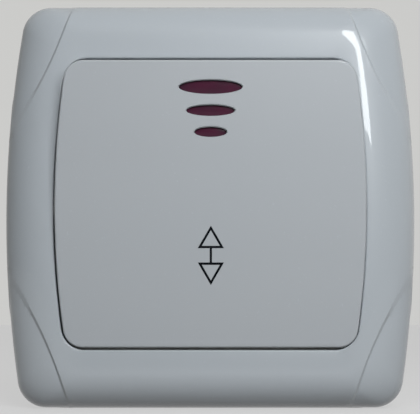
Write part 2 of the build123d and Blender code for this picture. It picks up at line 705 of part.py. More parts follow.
def claw_pins():
    """One steel pin through each claw's ears."""
    reach = CLAW_HALF_V + CLAW_SIDE_GAP + CLAW_EAR_WALL
    made = []
    for side in (-1, 1):
        pivot = side * CLAW_PIVOT_U
        made.append(rod((pivot, -reach, CLAW_PIVOT_W), (pivot, reach, CLAW_PIVOT_W), CLAW_PIN_R))
    return made


def claw(side):
    """A bell crank: a slotted flange that its nut lifts, and an arm with a toothed foot that swings out."""
    half = CLAW_WALL / 2
    across = (-CLAW_HALF_V, CLAW_HALF_V)
    flange = block((0, CLAW_FLANGE), across, (-half, half))
    slot = Pos(CLAW_LEVER, 0, -CLAW_WALL) * SlotOverall(CLAW_SLOT_LENGTH, 2 * (CLAW_SCREW_R + 2 * SEAT))
    flange = flange - extrude(slot, 2 * CLAW_WALL)
    flange = flange.rotate(Axis.Y, -CLAW_REST)
    arm = block((-half, half), across, (-CLAW_ARM, 0))
    window = block(
        (-CLAW_EYE_R, CLAW_EYE_R),
        (-CLAW_WINDOW_HALF_V, CLAW_WINDOW_HALF_V),
        (-CLAW_WINDOW_BOTTOM, -CLAW_WINDOW_TOP),
    )
    foot = block((-half, CLAW_FOOT), across, (-CLAW_ARM, -CLAW_ARM + CLAW_WALL))
    gap = block(
        (CLAW_FOOT / 2, CLAW_FOOT + PAST),
        (-CLAW_TOOTH_HALF_V, CLAW_TOOTH_HALF_V),
        (-CLAW_ARM - PAST, 0),
    )
    eye = rod((0, -CLAW_HALF_V, 0), (0, CLAW_HALF_V, 0), CLAW_EYE_R)
    bore = rod((0, -CLAW_HALF_V - PAST, 0), (0, CLAW_HALF_V + PAST, 0), CLAW_PIN_R + RUN)
    shape = flange + (arm - window) + (foot - gap) + eye - bore
    if side < 0:
        shape = mirror(shape, Plane.YZ)
    return Pos(side * CLAW_PIVOT_U, 0, CLAW_PIVOT_W) * shape


def claw_screw(side):
    """A claw's screw, whose head bears on the plate."""
    place = (side * CLAW_SCREW_U, 0)
    top = PLATE_WALL + CLAW_SCREW_HEAD
    shape = rod((*place, CLAW_SCREW_END), (*place, PLATE_WALL), CLAW_SCREW_R)
    shape = shape + rod((*place, PLATE_WALL), (*place, top), CLAW_SCREW_HEAD_R)
    return shape - Pos(*place, top) * Box(2 * (CLAW_SCREW_HEAD_R + PAST), SLOT_CUT, 2 * SLOT_DEPTH)


def claw_nut(side):
    """The barrel nut that climbs its screw and lifts the claw's flange."""
    middle = side * CLAW_SCREW_U
    shape = rod((middle, -CLAW_NUT_HALF_V, NUT_W), (middle, CLAW_NUT_HALF_V, NUT_W), CLAW_NUT_R)
    reach = CLAW_NUT_R + PAST
    return shape - rod((middle, 0, NUT_W - reach), (middle, 0, NUT_W + reach), CLAW_SCREW_R + RUN)


def capsule(start, end, radius):
    """A round-ended bar whose ends reach the two points."""
    along = (Vector(*end) - Vector(*start)).normalized() * radius
    first = Vector(*start) + along
    last = Vector(*end) - along
    bar = rod(tuple(first), tuple(last), radius)
    return bar + Pos(*first) * Sphere(radius) + Pos(*last) * Sphere(radius)


def electrodes():
    """Two rods side by side in the lamp, one from each end."""
    left = LAMP_LEFT + LAMP_GLASS + ELECTRODE_END_GAP
    right = LAMP_RIGHT - LAMP_GLASS - ELECTRODE_END_GAP
    heights = (LAMP_W + ELECTRODE_OFFSET, LAMP_W - ELECTRODE_OFFSET)
    return [rod((left, LAMP_V, height), (right, LAMP_V, height), ELECTRODE_R) for height in heights]


def lead(start_u, leg_u, height):
    """A wire that leaves along the lamp, bends back and drops to a clamp."""
    turn = math.copysign(LEAD_BEND_R, leg_u)
    path = FilletPolyline(
        [(start_u, LAMP_V, height), (leg_u, LAMP_V, height), (leg_u, LAMP_V, CLAMP_TOP)], radius=abs(turn)
    )
    section = Plane(origin=path @ 0, z_dir=path % 0) * Circle(LEAD_R)
    return sweep(section, path=path)


def lamp_leads():
    """The wires from the electrodes: one to the upper throw's clamp, one past the resistor to the lamp's."""
    inner_left = LAMP_LEFT + LAMP_GLASS + ELECTRODE_END_GAP
    inner_right = LAMP_RIGHT - LAMP_GLASS - ELECTRODE_END_GAP
    upper = LAMP_W + ELECTRODE_OFFSET
    lower = LAMP_W - ELECTRODE_OFFSET
    left = lead(inner_left, -LEAD_U, upper)
    link = rod((inner_right, LAMP_V, lower), (RESISTOR_LEFT, LAMP_V, lower), LEAD_R)
    return [left, link, lead(RESISTOR_RIGHT, LEAD_U, lower)]


def lamp_bulb():
    """The hollow glass of the double-ended neon lamp, sealed round its wires."""
    outer = capsule((LAMP_LEFT, LAMP_V, LAMP_W), (LAMP_RIGHT, LAMP_V, LAMP_W), LAMP_R)
    inner = capsule(
        (LAMP_LEFT + LAMP_GLASS, LAMP_V, LAMP_W),
        (LAMP_RIGHT - LAMP_GLASS, LAMP_V, LAMP_W),
        LAMP_R - LAMP_GLASS,
    )
    shape = outer - inner
    upper = LAMP_W + ELECTRODE_OFFSET
    lower = LAMP_W - ELECTRODE_OFFSET
    middle = (LAMP_LEFT + LAMP_RIGHT) / 2
    shape = shape - rod((-LEAD_U, LAMP_V, upper), (middle, LAMP_V, upper), LEAD_R)
    return shape - rod((middle, LAMP_V, lower), (RESISTOR_LEFT, LAMP_V, lower), LEAD_R)


def lamp_resistor():
    """The small series resistor beside the lamp."""
    lower = LAMP_W - ELECTRODE_OFFSET
    return rod((RESISTOR_LEFT, LAMP_V, lower), (RESISTOR_RIGHT, LAMP_V, lower), RESISTOR_R)


def lamp_tray():
    """The tray that holds the lamp over the housing's web, with a trough and a hole for each wire."""
    shape = block(
        (-TRAY_HALF_U, TRAY_HALF_U), (LAMP_V - TRAY_HALF_V, LAMP_V + TRAY_HALF_V), (PLATE_WALL, TRAY_TOP)
    )
    reach = LEAD_U + LEAD_R + SEAT
    shape = shape - rod((-reach, LAMP_V, LAMP_W), (reach, LAMP_V, LAMP_W), LAMP_R + SEAT)
    for side in (-1, 1):
        foot = (side * LEAD_U, LAMP_V)
        shape = shape - rod((*foot, PLATE_WALL - PAST), (*foot, TRAY_TOP + PAST), LEAD_R + SEAT)
    return shape


def tilted(shape):
    """Rock a key-side shape so that the key's bottom is pressed in."""
    return shape.rotate(Axis((0, 0, PIVOT_W), (1, 0, 0)), KEY_TILT)


def save(name, shape):
    """Stand a piece, or a group of loose ones, upright and write it."""
    pieces = shape if isinstance(shape, list) else [shape]
    upright = [solid.rotate(Axis.X, 90) for piece in pieces for solid in piece.solids()]
    export_step(Compound(upright) if len(upright) > 1 else upright[0], f"parts/{name}.step")


os.makedirs("parts", exist_ok=True)
save("cover_frame", cover_frame())
save("rocker_key", tilted(rocker_key()))
save("indicator_lens", tilted(indicator_lens()))
save("cradle", tilted(cradle()))
save("plunger", tilted(plunger()))
save("plunger_spring", tilted(plunger_spring()))
save("contact_bridge", rocked(contact_bridge(), 1))
save("bridge_tips", [rocked(tip, 1) for tip in bridge_tips()])
save("fixed_tips", fixed_tips())
save("upper_contact_strip", throw_strip(1))
save("lower_contact_strip", throw_strip(-1))
save("common_strip", common_strip())
save("housing", housing())
save("housing_cover", housing_cover())
save("cover_screws", cover_screws())
save("mounting_plate", mounting_plate())
save("claw_pins", claw_pins())
for place, (side_u, side_v) in clamp_places().items():
    save(f"{place}_clamp", terminal_clamp(side_u, side_v))
    save(f"{place}_screw", terminal_screw(side_u, side_v))
for name, side in SIDES.items():
    save(f"claw_{name}", claw(side))
    save(f"claw_screw_{name}", claw_screw(side))
    save(f"claw_nut_{name}", claw_nut(side))
save("lamp_bulb", lamp_bulb())
save("lamp_electrodes", electrodes())
save("lamp_resistor", lamp_resistor())
save("lamp_leads", lamp_leads())
save("lamp_tray", lamp_tray())
print("nut travel", round(NUT_TRAVEL, 4), "mm")
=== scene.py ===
import math

import bmesh
import bpy
from mathutils import Matrix, Quaternion, Vector


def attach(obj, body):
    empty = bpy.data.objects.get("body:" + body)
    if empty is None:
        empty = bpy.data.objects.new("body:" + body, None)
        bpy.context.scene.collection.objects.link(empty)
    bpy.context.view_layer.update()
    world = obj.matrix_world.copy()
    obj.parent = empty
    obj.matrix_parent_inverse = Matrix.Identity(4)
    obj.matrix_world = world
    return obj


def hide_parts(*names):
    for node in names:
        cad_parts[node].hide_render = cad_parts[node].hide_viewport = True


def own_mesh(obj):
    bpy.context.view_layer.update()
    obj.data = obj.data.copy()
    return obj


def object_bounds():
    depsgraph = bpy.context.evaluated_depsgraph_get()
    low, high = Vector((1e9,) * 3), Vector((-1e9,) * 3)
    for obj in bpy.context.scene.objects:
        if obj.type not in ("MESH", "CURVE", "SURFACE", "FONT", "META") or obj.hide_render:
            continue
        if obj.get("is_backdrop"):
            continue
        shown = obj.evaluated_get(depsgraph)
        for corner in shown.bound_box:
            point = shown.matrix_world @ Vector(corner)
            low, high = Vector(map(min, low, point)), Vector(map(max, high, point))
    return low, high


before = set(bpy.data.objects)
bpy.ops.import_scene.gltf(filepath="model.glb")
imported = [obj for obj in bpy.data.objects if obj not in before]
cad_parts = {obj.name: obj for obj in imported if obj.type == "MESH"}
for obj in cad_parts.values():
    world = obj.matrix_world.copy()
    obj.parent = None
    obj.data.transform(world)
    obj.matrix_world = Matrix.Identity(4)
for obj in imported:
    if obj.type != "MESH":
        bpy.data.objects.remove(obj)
cad_box = [list(corner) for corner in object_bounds()]

# Housing and its cover
# Two thermoset mouldings, nearly black and slightly speckled, that carry the contacts and close over them.
# The housing goes into the wall box; the cover is screwed to it through the steel plate.


def seen(red, green, blue):
    """A colour as it looks on a screen, from 0 to 255, for a shader."""
    return tuple((level / 255) ** 2.2 for level in (red, green, blue)) + (1.0,)


def put(tree, kind, values=None, **settings):
    """A node with its settings, and with its inputs given as values or as sockets to link from."""
    made = tree.nodes.new(kind)
    for name, setting in settings.items():
        setattr(made, name, setting)
    for name, value in (values or {}).items():
        if isinstance(value, bpy.types.NodeSocket):
            tree.links.new(value, made.inputs[name])
        else:
            made.inputs[name].default_value = value
    return made


def start_group(name, inputs, outputs):
    """An empty node group with named sockets; returns its tree and its input node."""
    tree = bpy.data.node_groups.new(name, "ShaderNodeTree")
    kinds = {float: "NodeSocketFloat", tuple: "NodeSocketColor"}
    for label, value in inputs.items():
        socket = tree.interface.new_socket(label, in_out="INPUT", socket_type=kinds[type(value)])
        socket.default_value = value
    for label, kind in outputs.items():
        tree.interface.new_socket(label, in_out="OUTPUT", socket_type=kinds[kind])
    return tree, tree.nodes.new("NodeGroupInput").outputs


def end_group(tree, results):
    """Link a group's results to its named outputs."""
    end = tree.nodes.new("NodeGroupOutput")
    for label, socket in results.items():
        tree.links.new(socket, end.inputs[label])


def moulded_skin():
    """The surface of moulded plastic: slow cloudiness, fine specks and a very shallow rippled skin."""
    inputs = {
        "Color": (0.5, 0.5, 0.5, 1.0),
        "Cloud Color": (0.4, 0.4, 0.4, 1.0),
        "Speck Color": (0.6, 0.6, 0.6, 1.0),
        "Cloud Scale": 60.0,
        "Speck Scale": 1500.0,
        "Ripple Scale": 350.0,
        "Roughness": 0.3,
        "Roughness Spread": 0.08,
    }
    tree, given = start_group("moulded_skin", inputs, {"Color": tuple, "Roughness": float, "Height": float})
    place = put(tree, "ShaderNodeTexCoord").outputs["Object"]
    cloud = put(tree, "ShaderNodeTexNoise", {"Vector": place, "Scale": given["Cloud Scale"], "Detail": 3.0})
    speck = put(tree, "ShaderNodeTexNoise", {"Vector": place, "Scale": given["Speck Scale"], "Detail": 2.0})
    ripple = put(tree, "ShaderNodeTexNoise", {"Vector": place, "Scale": given["Ripple Scale"], "Detail": 1.0})
    cloudy = put(
        tree,
        "ShaderNodeMix",
        {0: cloud.outputs["Fac"], 6: given["Color"], 7: given["Cloud Color"]},
        data_type="RGBA",
    )
    few = put(
        tree,
        "ShaderNodeMapRange",
        {"Value": speck.outputs["Fac"], "From Min": 0.66, "From Max": 0.8},
    )
    specked = put(
        tree,
        "ShaderNodeMix",
        {0: few.outputs["Result"], 6: cloudy.outputs[2], 7: given["Speck Color"]},
        data_type="RGBA",
    )
    uneven = put(
        tree,
        "ShaderNodeMath",
        {0: cloud.outputs["Fac"], 1: given["Roughness Spread"], 2: given["Roughness"]},
        operation="MULTIPLY_ADD",
    )
    results = {
        "Color": specked.outputs[2],
        "Roughness": uneven.outputs["Value"],
        "Height": ripple.outputs["Fac"],
    }
    end_group(tree, results)
    return tree


SKIN = moulded_skin()


def plastic(name, skin_values, ripple_depth, **shader_values):
    """A plastic made with the moulded skin; the shader's own values are set on its own sockets."""
    made = bpy.data.materials.new(name)
    made.use_nodes = True
    tree = made.node_tree
    shader = tree.nodes["Principled BSDF"]
    skin = put(tree, "ShaderNodeGroup", node_tree=SKIN)
    for label, value in skin_values.items():
        skin.inputs[label].default_value = value
    bump = put(tree, "ShaderNodeBump", {"Height": skin.outputs["Height"], "Distance": ripple_depth})
    tree.links.new(skin.outputs["Color"], shader.inputs["Base Color"])
    tree.links.new(skin.outputs["Roughness"], shader.inputs["Roughness"])
    tree.links.new(bump.outputs["Normal"], shader.inputs["Normal"])
    for label, value in shader_values.items():
        shader.inputs[label.replace("_", " ")].default_value = value
    return made


def dress(material, *nodes):
    """Give CAD nodes a material."""
    for name in nodes:
        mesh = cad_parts[name].data
        mesh.materials.clear()
        mesh.materials.append(material)


thermoset = plastic(
    "speckled_thermoset",
    {
        "Color": seen(52, 51, 52),
        "Cloud Color": seen(40, 39, 41),
        "Speck Color": seen(96, 94, 92),
        "Cloud Scale": 90.0,
        "Speck Scale": 1800.0,
        "Ripple Scale": 900.0,
        "Roughness": 0.42,
        "Roughness Spread": 0.2,
    },
    ripple_depth=0.00004,
)
dress(thermoset, "housing", "housing_cover")

# Strips, clamps and contacts
# Stamped copper-alloy strips and sawn brass blocks carry the current; silver tips close the contacts.
# The metal is drawn or stamped, so fine lines run along it, and it has a little tarnish.

LINE_STRETCH = (1.0, 1.0, 0.03)


def drawn_metal():
    """The surface of worked metal: long fine lines one way, and slow blotches of tarnish."""
    inputs = {
        "Color": (0.7, 0.7, 0.7, 1.0),
        "Tarnish Color": (0.5, 0.5, 0.5, 1.0),
        "Blotch Scale": 120.0,
        "Line Scale": 3000.0,
        "Roughness": 0.25,
        "Roughness Spread": 0.2,
    }
    tree, given = start_group("drawn_metal", inputs, {"Color": tuple, "Roughness": float, "Height": float})
    place = put(tree, "ShaderNodeTexCoord").outputs["Object"]
    blotch = put(tree, "ShaderNodeTexNoise", {"Vector": place, "Scale": given["Blotch Scale"], "Detail": 4.0})
    pulled = put(tree, "ShaderNodeMapping", {"Vector": place, "Scale": LINE_STRETCH})
    lines = put(
        tree,
        "ShaderNodeTexNoise",
        {"Vector": pulled.outputs["Vector"], "Scale": given["Line Scale"], "Detail": 2.0},
    )
    dull = put(
        tree,
        "ShaderNodeMapRange",
        {"Value": blotch.outputs["Fac"], "From Min": 0.45, "From Max": 0.75},
    )
    tinted = put(
        tree,
        "ShaderNodeMix",
        {0: dull.outputs["Result"], 6: given["Color"], 7: given["Tarnish Color"]},
        data_type="RGBA",
    )
    uneven = put(
        tree,
        "ShaderNodeMath",
        {0: blotch.outputs["Fac"], 1: given["Roughness Spread"], 2: given["Roughness"]},
        operation="MULTIPLY_ADD",
    )
    results = {
        "Color": tinted.outputs[2],
        "Roughness": uneven.outputs["Value"],
        "Height": lines.outputs["Fac"],
    }
    end_group(tree, results)
    return tree


DRAWN = drawn_metal()


def metal(name, color, tarnish, roughness, line_depth=0.000004, blotch=120.0):
    """A metal made with the drawn surface."""
    made = bpy.data.materials.new(name)
    made.use_nodes = True
    tree = made.node_tree
    shader = tree.nodes["Principled BSDF"]
    drawn = put(tree, "ShaderNodeGroup", node_tree=DRAWN)
    drawn.inputs["Color"].default_value = color
    drawn.inputs["Tarnish Color"].default_value = tarnish
    drawn.inputs["Roughness"].default_value = roughness
    drawn.inputs["Blotch Scale"].default_value = blotch
    bump = put(tree, "ShaderNodeBump", {"Height": drawn.outputs["Height"], "Distance": line_depth})
    tree.links.new(drawn.outputs["Color"], shader.inputs["Base Color"])
    tree.links.new(drawn.outputs["Roughness"], shader.inputs["Roughness"])
    tree.links.new(bump.outputs["Normal"], shader.inputs["Normal"])
    shader.inputs["Metallic"].default_value = 1.0
    return made


CLAMP_NAMES = ("upper_throw", "lamp", "lower_throw", "common")
brass = metal("sawn_brass", seen(214, 178, 104), seen(170, 130, 72), 0.22)
copper = metal("stamped_copper_alloy", seen(205, 148, 108), seen(150, 96, 68), 0.28)
silver = metal("silver_tip", seen(226, 226, 222), seen(176, 172, 164), 0.18)
dress(brass, *(f"{name}_clamp" for name in CLAMP_NAMES))
dress(copper, "upper_contact_strip", "lower_contact_strip", "common_strip", "contact_bridge")
dress(silver, "bridge_tips", "fixed_tips")

# Mounting plate, claws and screws
# The plate and the claws are punched from sheet steel, bent, and zinc plated after bending.
# The screws and barrel nuts are turned and plated; the claw screws pull the claws out against the box.

zinc = metal(
    "zinc_plated_sheet", seen(194, 195, 192), seen(174, 174, 168), 0.3, line_depth=0.000006, blotch=420.0
)
plated_screw = metal(
    "zinc_plated_screw", seen(188, 188, 184), seen(140, 138, 130), 0.24, line_depth=0.000003, blotch=500.0
)
dress(zinc, "mounting_plate", "claw_left", "claw_right")
dress(plated_screw, "cover_screws", "claw_pins", *(f"{name}_screw" for name in CLAMP_NAMES))
for side in ("left", "right"):
    dress(plated_screw, f"claw_screw_{side}", f"claw_nut_{side}")

# Cradle, plunger, lamp tray and lamp
# The carriers are moulded in natural white plastic; the key clips to the cradle, and the plunger runs in it.
# The lamp is a small glass tube with two electrodes, tinned leads and a lacquered resistor, laid in its tray.

natural = plastic(
    "natural_white_plastic",
    {
        "Color": seen(226, 225, 219),
        "Cloud Color": seen(216, 214, 206),
        "Speck Color": seen(200, 196, 186),
        "Roughness": 0.4,
        "Roughness Spread": 0.1,
    },
    ripple_depth=0.00002,
)
dress(natural, "cradle", "plunger", "lamp_tray")
tinned = metal("tinned_lead", seen(200, 199, 196), seen(160, 158, 152), 0.3)
nickel = metal("nickel_electrode", seen(190, 186, 178), seen(140, 134, 124), 0.3)
dress(tinned, "lamp_leads")
dress(nickel, "lamp_electrodes")
lacquer = plastic(
    "resistor_lacquer",
    {
        "Color": seen(190, 170, 132),
        "Cloud Color": seen(176, 152, 112),
        "Speck Color": seen(150, 126, 92),
        "Cloud Scale": 400.0,
        "Roughness": 0.35,
    },
    ripple_depth=0.00002,
)
dress(lacquer, "lamp_resistor")
glass = plastic(
    "lamp_glass",
    {
        "Color": seen(244, 242, 236),
        "Cloud Color": seen(236, 230, 220),
        "Speck Color": seen(248, 246, 242),
        "Roughness": 0.02,
        "Roughness Spread": 0.03,
    },
    ripple_depth=0.00001,
    Transmission_Weight=1.0,
    IOR=1.5,
)
dress(glass, "lamp_bulb")

# Rocker key
# A wide moulded cap, glossy and pale, with a rounded edge, three oval windows and a skirt inside the frame.
# It clips to the cradle with four hooks. At rest its lower half is pressed in, so the cap leans four degrees.

MM = 0.001
KEY_HALF_U = 31.1
KEY_HALF_V = 28.66
KEY_SIDE_R = 180.0
KEY_CORNER_R = 4.0
KEY_FACE = 11.195
KEY_SKIRT_BOTTOM = 5.0
KEY_WALL = 1.5
KEY_CAP = 1.8
KEY_ROUND = 0.4
TOP_BORDER = 0.2
KEY_TILT = math.radians(4)
PIVOT_W = 5.6
KEY_PLAY_U = 0.04
KEY_PLAY_V = -0.13
ROUND_STEPS = 8
# Half width, half height and centre above the middle of each window
WINDOWS = [(6.35, 1.4, 23.23), (4.85, 1.1, 18.53), (3.25, 1.0, 14.23)]
WINDOW_CHAMFER = 0.2
RIB_U = 20.0
RIB_HALF = 0.6
RIB_DEPTH = 2.0
HOOK_U = 10.3
HOOK_V = 12.0
HOOK_HALF_U = 1.2
HOOK_HALF_V = 0.7
HOOK_BARB = 0.5
HOOK_FOOT = 6.05
# How deep a grown piece is rooted, how far two faces are kept apart, and how far a cutter runs past a face
ROOT = 1.0
STAGGER = 0.05
PAST = 1.5
OVAL_POINTS = 72
SIDE_POINTS = 60
CORNER_POINTS = 40
TOP_POINTS = 60


def barrel_ring(half_u, half_v, side_r, corner_r, height):
    """Points round an outline with bowed sides, straight top and bottom and round corners."""
    side_centre = half_u - side_r
    corner_v = half_v - corner_r
    corner_u = side_centre + math.sqrt((side_r - corner_r) ** 2 - corner_v**2)
    meet = math.atan2(corner_v, corner_u - side_centre)
    half = []
    for index in range(SIDE_POINTS):
        angle = meet * (2 * index / SIDE_POINTS - 1)
        half.append((side_centre + side_r * math.cos(angle), side_r * math.sin(angle)))
    for index in range(CORNER_POINTS):
        angle = meet + (math.pi / 2 - meet) * index / CORNER_POINTS
        half.append((corner_u + corner_r * math.cos(angle), corner_v + corner_r * math.sin(angle)))
    for index in range(TOP_POINTS):
        half.append((corner_u * (1 - 2 * index / TOP_POINTS), half_v))
    for index in range(CORNER_POINTS):
        angle = math.pi / 2 + (math.pi / 2 - meet) * index / CORNER_POINTS
        half.append((-corner_u + corner_r * math.cos(angle), corner_v + corner_r * math.sin(angle)))
    return [(u, v, height) for u, v in half] + [(-u, -v, height) for u, v in half]


def oval_ring(half_u, half_v, centre_v, height):
    """Points round an oval."""
    turns = [2 * math.pi * index / OVAL_POINTS for index in range(OVAL_POINTS)]
    return [(half_u * math.cos(turn), centre_v + half_v * math.sin(turn), height) for turn in turns]


def skin_over(name, rings, closed=False):
    """A circle placed on the first ring, then extruded from ring to ring; the ends are filled or bridged."""
    bpy.ops.object.select_all(action="DESELECT")
    bpy.ops.mesh.primitive_circle_add(vertices=len(rings[0]), radius=MM)
    piece = bpy.context.object
    piece.name = name
    bpy.ops.object.mode_set(mode="EDIT")
    mesh = bmesh.from_edit_mesh(piece.data)
    place = mesh.verts.layers.int.new("place")
    for index, vertex in enumerate(mesh.verts):
        vertex[place] = index
        vertex.co = Vector(rings[0][index]) * MM
    bmesh.update_edit_mesh(piece.data)
    if not closed:
        bpy.ops.mesh.edge_face_add()
    for ring in rings[1:]:
        bpy.ops.mesh.extrude_region_move()
        mesh = bmesh.from_edit_mesh(piece.data)
        place = mesh.verts.layers.int["place"]
        for vertex in mesh.verts:
            if vertex.select:
                vertex.co = Vector(ring[vertex[place]]) * MM
        bmesh.update_edit_mesh(piece.data)
    if closed:
        bpy.ops.mesh.select_all(action="DESELECT")
        bpy.ops.mesh.select_mode(type="EDGE")
        bpy.ops.mesh.select_non_manifold()
        bpy.ops.mesh.bridge_edge_loops()
    bpy.ops.mesh.select_all(action="SELECT")
    bpy.ops.mesh.normals_make_consistent(inside=False)
    bpy.ops.object.mode_set(mode="OBJECT")
    return piece


def rounded_top(half_u, half_v, side_r, corner_r, top, radius):
    """Rings that turn an outline's upright wall over into its flat top."""
    rings = []
    for index in range(ROUND_STEPS + 1):
        turn = math.pi / 2 * index / ROUND_STEPS
        inset = radius * (1 - math.cos(turn))
        height = top - radius + radius * math.sin(turn)
        rings.append(barrel_ring(half_u - inset, half_v - inset, side_r - inset, corner_r - inset, height))
    return rings


def cut_away(piece, other, operation="DIFFERENCE"):
    """Cut one closed mesh out of another, or with UNION grow it on, and delete it."""
    bpy.ops.object.select_all(action="DESELECT")
    piece.select_set(True)
    bpy.context.view_layer.objects.active = piece
    cut = piece.modifiers.new("cut", "BOOLEAN")
    cut.operation = operation
    cut.solver = "EXACT"
    cut.object = other
    bpy.ops.object.modifier_apply(modifier=cut.name)
    bpy.data.objects.remove(other)


def grow_on(piece, other):
    """Make one closed mesh part of another."""
    cut_away(piece, other, "UNION")


def block(u, v, w, ease=0.1):
    """A box between two limits each way, with its edges eased."""
    limits = (u, v, w)
    bpy.ops.object.select_all(action="DESELECT")
    bpy.ops.mesh.primitive_cube_add(
        size=1,
        location=[(low + high) / 2 * MM for low, high in limits],
        scale=[(high - low) * MM for low, high in limits],
    )
    bpy.ops.object.transform_apply(location=True, rotation=True, scale=True)
    if ease:
        bpy.ops.object.mode_set(mode="EDIT")
        bpy.ops.mesh.bevel(offset=ease * MM, segments=2)
        bpy.ops.object.mode_set(mode="OBJECT")
    return bpy.context.object


def gather(pieces):
    """Several meshes as one object."""
    bpy.ops.object.select_all(action="DESELECT")
    for piece in pieces:
        piece.select_set(True)
    bpy.context.view_layer.objects.active = pieces[0]
    bpy.ops.object.join()
    return pieces[0]


def smooth(piece, degrees=30):
    """Smooth shading, kept crisp where faces meet at more than an angle."""
    bpy.ops.object.select_all(action="DESELECT")
    piece.select_set(True)
    bpy.context.view_layer.objects.active = piece
    bpy.ops.object.shade_smooth_by_angle(angle=math.radians(degrees))


def upright(tilt=0.0, play_u=0.0, play_v=0.0):
    """The turn that stands a piece up in the wall, after leaning it about the key's bearing."""
    bearing = Matrix.Translation((play_u * MM, play_v * MM, PIVOT_W * MM))
    lean = Matrix.Rotation(tilt, 4, "X")
    return Matrix.Rotation(math.pi / 2, 4, "X") @ bearing @ lean @ Matrix.Translation((0, 0, -PIVOT_W * MM))


def stand_up(piece, turn):
    """Turn a piece that was drawn on its back, and keep its place in its mesh."""
    piece.matrix_world = turn
    bpy.ops.object.select_all(action="DESELECT")
    piece.select_set(True)
    bpy.context.view_layer.objects.active = piece
    bpy.ops.object.transform_apply(location=True, rotation=True, scale=True)


def wear(piece, material, body):
    """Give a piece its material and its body."""
    piece.data.materials.clear()
    piece.data.materials.append(material)
    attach(piece, body)


rings = [barrel_ring(KEY_HALF_U, KEY_HALF_V, KEY_SIDE_R, KEY_CORNER_R, KEY_SKIRT_BOTTOM)]
rings += rounded_top(KEY_HALF_U, KEY_HALF_V, KEY_SIDE_R, KEY_CORNER_R, KEY_FACE, KEY_ROUND)
edge = KEY_ROUND + TOP_BORDER
rings.append(
    barrel_ring(KEY_HALF_U - edge, KEY_HALF_V - edge, KEY_SIDE_R - edge, KEY_CORNER_R - edge, KEY_FACE)
)
key = skin_over("rocker_cap", rings)
inner = (KEY_HALF_U - KEY_WALL, KEY_HALF_V - KEY_WALL, KEY_SIDE_R - KEY_WALL, KEY_CORNER_R - KEY_WALL)
hollow = skin_over(
    "key_hollow",
    [barrel_ring(*inner, KEY_SKIRT_BOTTOM - PAST), barrel_ring(*inner, KEY_FACE - KEY_CAP)],
)
cut_away(key, hollow)
under = KEY_FACE - KEY_CAP
inside = []
for side_u in (-1, 1):
    across = (side_u * RIB_U - RIB_HALF, side_u * RIB_U + RIB_HALF)
    along = (-KEY_HALF_V + ROOT, KEY_HALF_V - ROOT)
    inside.append(block(across, along, (under - RIB_DEPTH, under + ROOT)))
    for side_v in (-1, 1):
        across = (side_u * HOOK_U - HOOK_HALF_U, side_u * HOOK_U + HOOK_HALF_U)
        along = (side_v * HOOK_V - HOOK_HALF_V, side_v * HOOK_V + HOOK_HALF_V)
        leg = block(across, along, (HOOK_FOOT, under + ROOT))
        reach = sorted((side_v * HOOK_V, side_v * (HOOK_V + HOOK_HALF_V + HOOK_BARB)))
        grow_on(leg, block(across, reach, (HOOK_FOOT - STAGGER, HOOK_FOOT + HOOK_BARB)))
        inside.append(leg)
grow_on(key, gather(inside))
for half_u, half_v, centre in WINDOWS:
    wide_u = half_u + WINDOW_CHAMFER
    wide_v = half_v + WINDOW_CHAMFER
    window = skin_over(
        "key_window",
        [
            oval_ring(half_u, half_v, centre, KEY_FACE - 2 * KEY_CAP),
            oval_ring(half_u, half_v, centre, KEY_FACE - WINDOW_CHAMFER),
            oval_ring(wide_u, wide_v, centre, KEY_FACE),
            oval_ring(wide_u, wide_v, centre, KEY_FACE + PAST),
        ],
    )
    cut_away(key, window)
ON_KEY = upright(KEY_TILT, KEY_PLAY_U, KEY_PLAY_V)
stand_up(key, ON_KEY)
smooth(key)
pale_gloss = plastic(
    "key_gloss",
    {
        "Color": seen(165, 169, 172),
        "Cloud Color": seen(161, 166, 170),
        "Speck Color": seen(170, 175, 179),
        "Cloud Scale": 25.0,
        "Speck Scale": 2200.0,
        "Ripple Scale": 180.0,
        "Roughness": 0.3,
        "Roughness Spread": 0.08,
    },
    ripple_depth=0.000003,
    IOR=1.45,
    Coat_Weight=0.4,
    Coat_Roughness=0.05,
)
wear(key, pale_gloss, "rocker")
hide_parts("rocker_key")

# Plunger spring
# A small compression spring of bright wire, with closed end coils, between plunger and cradle.
# It rides on the plunger as one rigid piece; the real spring gives way as the plunger is pushed up.

SPRING_TURNS = 7
SPRING_STATIONS = 24
SPRING_COIL_R = 1.35
SPRING_WIRE_R = 0.2
SPRING_WIRE_POINTS = 12
SPRING_CLOSED_PITCH = 2.1 * SPRING_WIRE_R
SPRING_LOW = 0.9
SPRING_HIGH = 7.2


def coil_height(turns):
    """The wire's height after some turns: the first and the last rise by one wire's width only."""
    open_turns = SPRING_TURNS - 2
    open_pitch = (SPRING_HIGH - SPRING_LOW - 2 * SPRING_CLOSED_PITCH) / open_turns
    rise = SPRING_CLOSED_PITCH * min(turns, 1) + open_pitch * min(max(turns - 1, 0), open_turns)
    return SPRING_LOW + rise + SPRING_CLOSED_PITCH * max(turns - SPRING_TURNS + 1, 0)


rings = []
for station in range(SPRING_TURNS * SPRING_STATIONS + 1):
    turns = station / SPRING_STATIONS
    ring = []
    for point in range(SPRING_WIRE_POINTS):
        around = 2 * math.pi * point / SPRING_WIRE_POINTS
        reach = SPRING_COIL_R + SPRING_WIRE_R * math.cos(around)
        along = 2 * math.pi * turns
        height = coil_height(turns) + SPRING_WIRE_R * math.sin(around)
        ring.append((reach * math.cos(along), reach * math.sin(along), height))
    rings.append(ring)
spring = skin_over("coil_spring", rings)
leaning = upright(KEY_TILT)
stand_up(spring, leaning)
smooth(spring, 50)
spring_wire = metal("spring_wire", seen(176, 177, 178), seen(128, 128, 130), 0.2)
wear(spring, spring_wire, "plunger")
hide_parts("plunger_spring")
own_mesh(spring)

